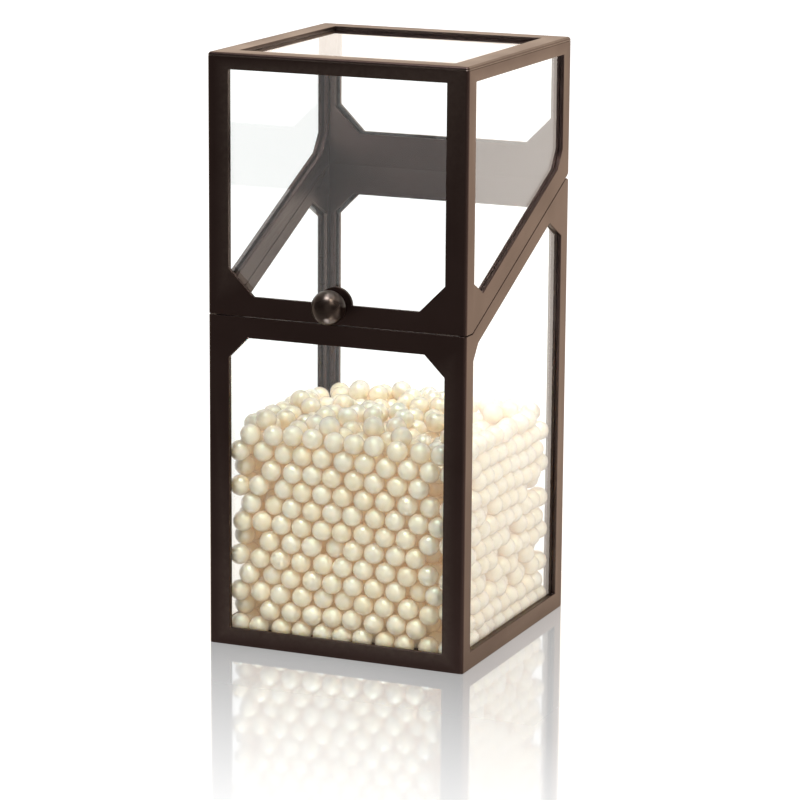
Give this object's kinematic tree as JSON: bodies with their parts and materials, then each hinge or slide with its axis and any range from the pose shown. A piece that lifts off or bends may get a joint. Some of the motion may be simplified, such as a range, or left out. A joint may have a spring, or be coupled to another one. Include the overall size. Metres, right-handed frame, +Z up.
{
  "type": "glass brush box with hinged lid",
  "caption": "Tall square glass and metal box with a slant-cut hinged lid, a ball knob and a bed of loose pearls that holds brushes upright.",
  "frame": {"origin": "middle of the face that the box rests on", "axes": "+X to the right seen from the front, +Y to the back, +Z up"},
  "size_m": [0.1, 0.1122, 0.217],
  "materials": {
    "frame_metal": "satin dark bronze",
    "clear_glass": "clear float glass",
    "hinge_metal": "satin dark bronze",
    "knob_metal": "semi-gloss near-black bronze",
    "screw_steel": "plain steel",
    "felt": "black felt",
    "pearl": "pearlescent ivory"
  },
  "bodies": {
    "base": {"base_back_frame": "frame_metal", "base_back_glass": "clear_glass", "base_back_inner_frame": "frame_metal", "base_front_frame": "frame_metal", "base_front_glass": "clear_glass", "base_front_inner_frame": "frame_metal", "base_left_frame": "frame_metal", "base_left_glass": "clear_glass", "base_left_inner_frame": "frame_metal", "base_right_frame": "frame_metal", "base_right_glass": "clear_glass", "base_right_inner_frame": "frame_metal", "floor_plate": "frame_metal", "hinge_base_leaf": "hinge_metal", "hinge_pin": "hinge_metal", "pearls_1": "pearl", "pearls_2": "pearl", "pearls_3": "pearl", "pearls_4": "pearl", "underside_felt": "felt"},
    "lid": {"hinge_lid_leaf": "hinge_metal", "knob": "knob_metal", "knob_screw": "screw_steel", "lid_back_frame": "frame_metal", "lid_back_glass": "clear_glass", "lid_back_inner_frame": "frame_metal", "lid_front_frame": "frame_metal", "lid_front_glass": "clear_glass", "lid_front_inner_frame": "frame_metal", "lid_left_frame": "frame_metal", "lid_left_glass": "clear_glass", "lid_left_inner_frame": "frame_metal", "lid_right_frame": "frame_metal", "lid_right_glass": "clear_glass", "lid_right_inner_frame": "frame_metal", "lid_top_frame": "frame_metal", "lid_top_glass": "clear_glass", "lid_top_inner_frame": "frame_metal"}
  },
  "joints": [
    {"name": "lid_hinge", "type": "hinge", "parent": "base", "child": "lid", "pos_m": [0, 0.0483, 0.1655], "axis": [-1, 0, 0], "range_deg": [0, 105]}
  ]
}
